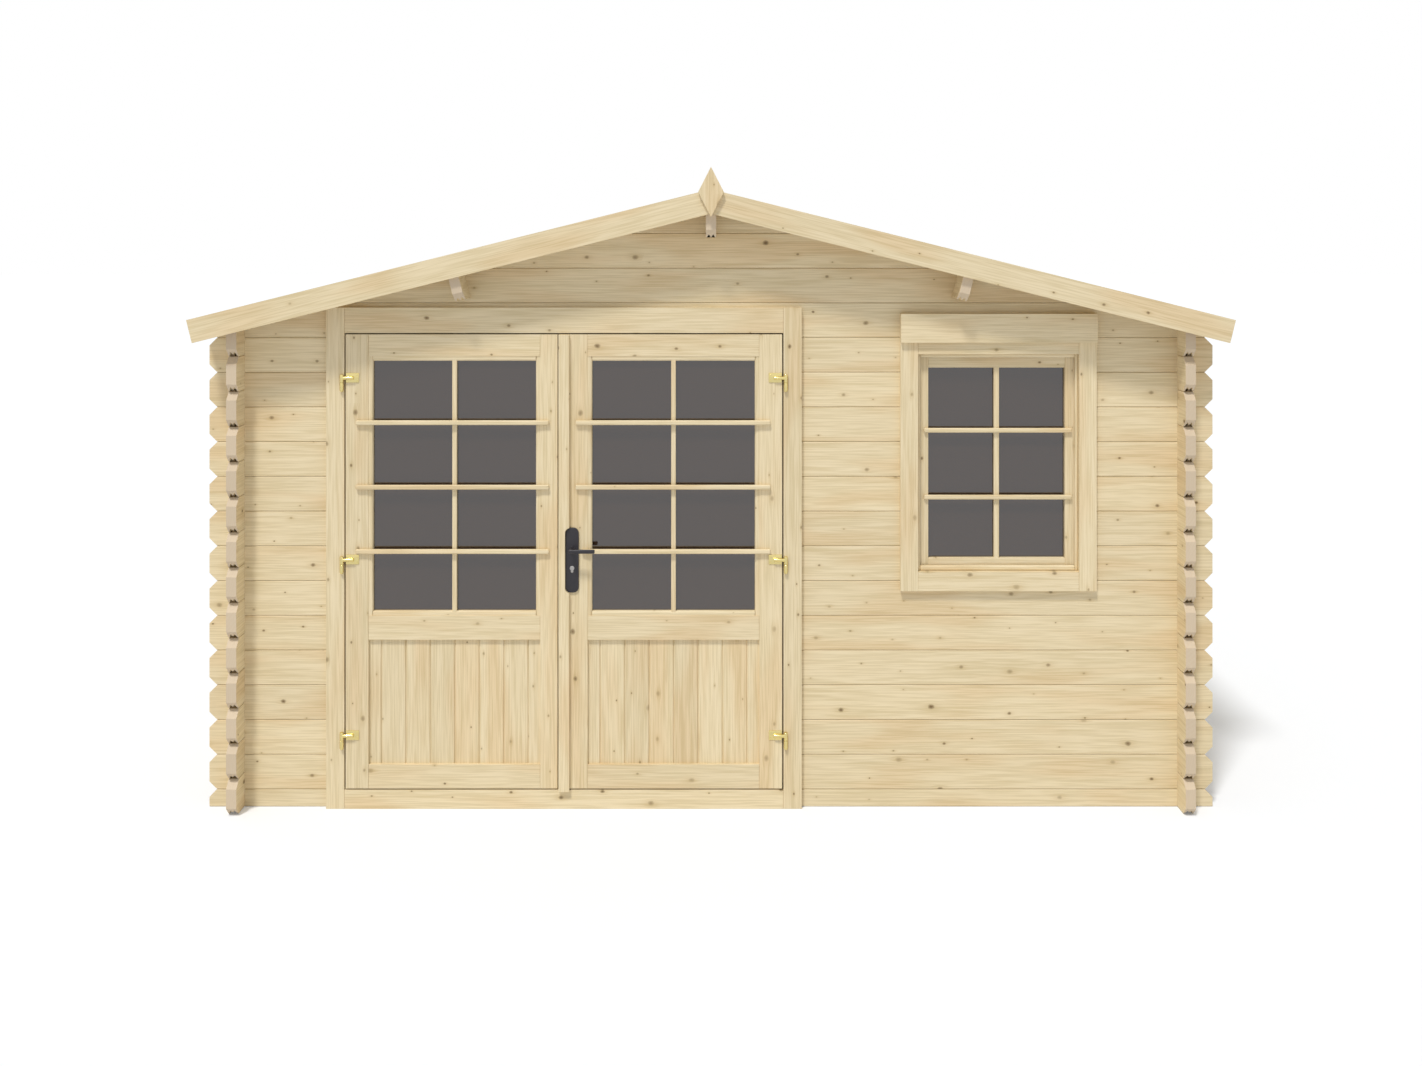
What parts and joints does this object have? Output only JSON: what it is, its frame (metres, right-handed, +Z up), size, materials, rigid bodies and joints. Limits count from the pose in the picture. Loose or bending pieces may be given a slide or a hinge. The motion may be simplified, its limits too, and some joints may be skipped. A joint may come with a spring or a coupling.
{
  "type": "log cabin garden shed",
  "caption": "Log cabin garden shed with a low gable roof, half glazed double doors, a lever handle and a fixed window.",
  "frame": {"origin": "on the ground, under the middle of the cabin", "axes": "+X to the right seen from the front, +Y from the front to the back, +Z up"},
  "size_m": [4.052, 3.146, 2.534],
  "materials": {
    "logs": "planed, untreated",
    "joinery": "planed, untreated",
    "boards": "planed, untreated",
    "glass": "clear",
    "brass": "polished",
    "handle": "satin black",
    "lock": "satin"
  },
  "bodies": {
    "cabin": {"back_wall_even_logs": "logs", "back_wall_odd_logs": "logs", "door_head": "joinery", "door_jambs": "joinery", "door_threshold": "joinery", "finials": "joinery", "floor_bearers": "boards", "floor_boards": "boards", "front_gable_even_logs": "logs", "front_gable_odd_logs": "logs", "front_wall_left_even_logs": "logs", "front_wall_left_odd_logs": "logs", "front_wall_right_even_logs": "logs", "front_wall_right_odd_logs": "logs", "jamb_hinge_pins": "brass", "left_fascias": "joinery", "left_roof_boards": "boards", "left_wall_even_logs": "logs", "left_wall_odd_logs": "logs", "log_over_door": "logs", "ridge_purlin": "logs", "right_fascias": "joinery", "right_roof_boards": "boards", "right_wall_even_logs": "logs", "right_wall_odd_logs": "logs", "side_purlins": "logs", "window_beads": "joinery", "window_glass": "glass", "window_head_board": "joinery", "window_sash": "joinery", "window_side_frames": "joinery", "window_sill_and_head": "joinery"},
    "left_door": {"left_door_beads": "joinery", "left_door_glass": "glass", "left_door_hinges": "brass", "left_door_panel": "joinery", "left_door_rails": "joinery", "left_door_stiles": "joinery"},
    "right_door": {"right_door_beads": "joinery", "right_door_glass": "glass", "right_door_hinges": "brass", "right_door_panel": "joinery", "right_door_rails": "joinery", "right_door_stiles": "joinery", "cover_strip": "joinery", "handle_plates": "handle", "lock_cylinder": "lock"},
    "lever": {"lever_handle": "handle"}
  },
  "joints": [
    {"name": "left_door_swing", "type": "hinge", "parent": "cabin", "child": "left_door", "pos_m": [-1.4595, -1.425, 0.986], "axis": [0, 0, -1], "range_deg": [0, 110]},
    {"name": "right_door_swing", "type": "hinge", "parent": "cabin", "child": "right_door", "pos_m": [0.2955, -1.425, 0.986], "axis": [0, 0, 1], "range_deg": [0, 110]},
    {"name": "lever_turn", "type": "hinge", "parent": "right_door", "child": "lever", "pos_m": [-0.549, -1.395, 1.03], "axis": [0, 1, 0], "range_deg": [0, 40], "stiffness_Nm_per_rad": 0.6}
  ]
}
